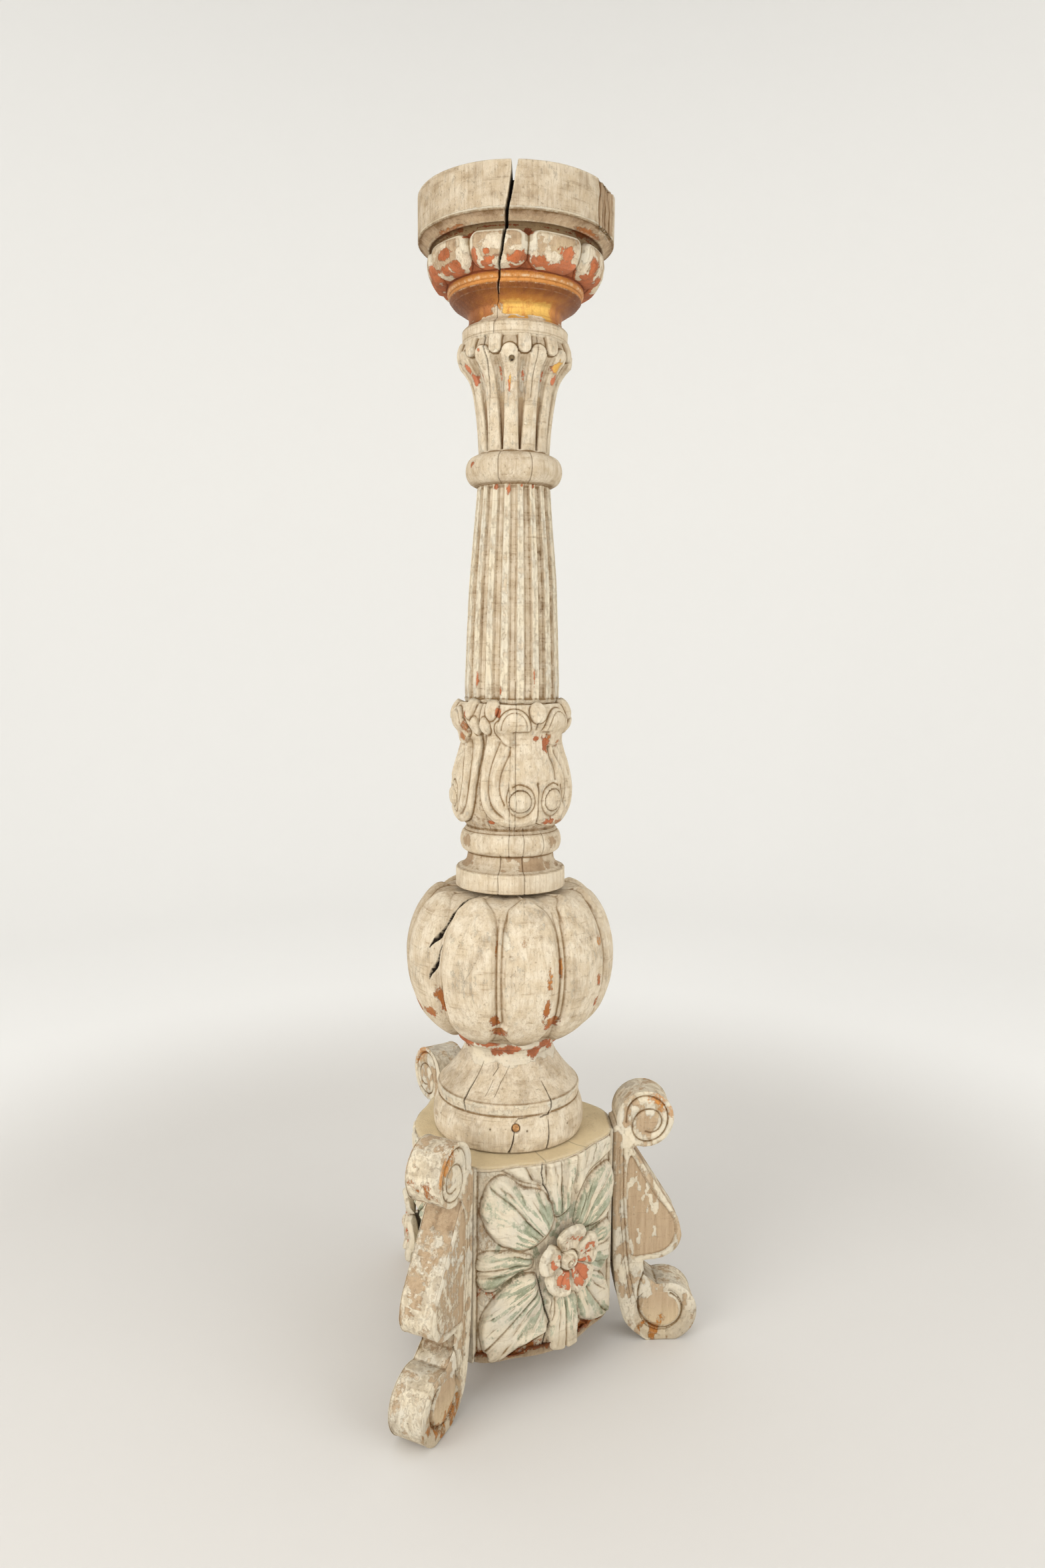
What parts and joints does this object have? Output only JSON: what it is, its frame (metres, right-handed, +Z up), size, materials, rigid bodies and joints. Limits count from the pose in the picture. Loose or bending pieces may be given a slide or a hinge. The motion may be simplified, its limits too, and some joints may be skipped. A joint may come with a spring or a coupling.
{
  "type": "altar candlestick",
  "caption": "Tall carved wooden altar candlestick: pricket in a turned pan, fluted stem, lobed ball, and a carved block on scrolled feet.",
  "frame": {"origin": "on the stem's axis, in the plane that the three feet stand on", "axes": "+Z up along the stem, +X along the right leg, -Y to the front, between the front leg and the right leg"},
  "size_m": [0.2502, 0.2888, 0.9205],
  "materials": {
    "bleached_wood": "bleached, chalky, worn bare of its gesso and gilding",
    "painted_wood": "flaked cream and grey-green paint over tan ground",
    "rose_bole": "chalky cream rims over terracotta bole",
    "peg_wood": "end grain, darker than the wood round it",
    "iron": "forged, brown with old rust"
  },
  "bodies": {
    "root": {"pricket": "iron", "pan": "bleached_wood", "capital_nail": "iron", "stem": "bleached_wood", "ball": "bleached_wood", "base_moulding": "bleached_wood", "base_peg": "peg_wood", "base_block": "painted_wood", "rosette_front": "rose_bole", "rosette_right": "rose_bole", "rosette_left": "rose_bole", "leg_right": "painted_wood", "leg_nail_right_upper": "iron", "leg_nail_right_lower": "iron", "leg_back": "painted_wood", "leg_nail_back_upper": "iron", "leg_nail_back_lower": "iron", "leg_front": "painted_wood", "leg_nail_front_upper": "iron", "leg_nail_front_lower": "iron"}
  },
  "joints": []
}
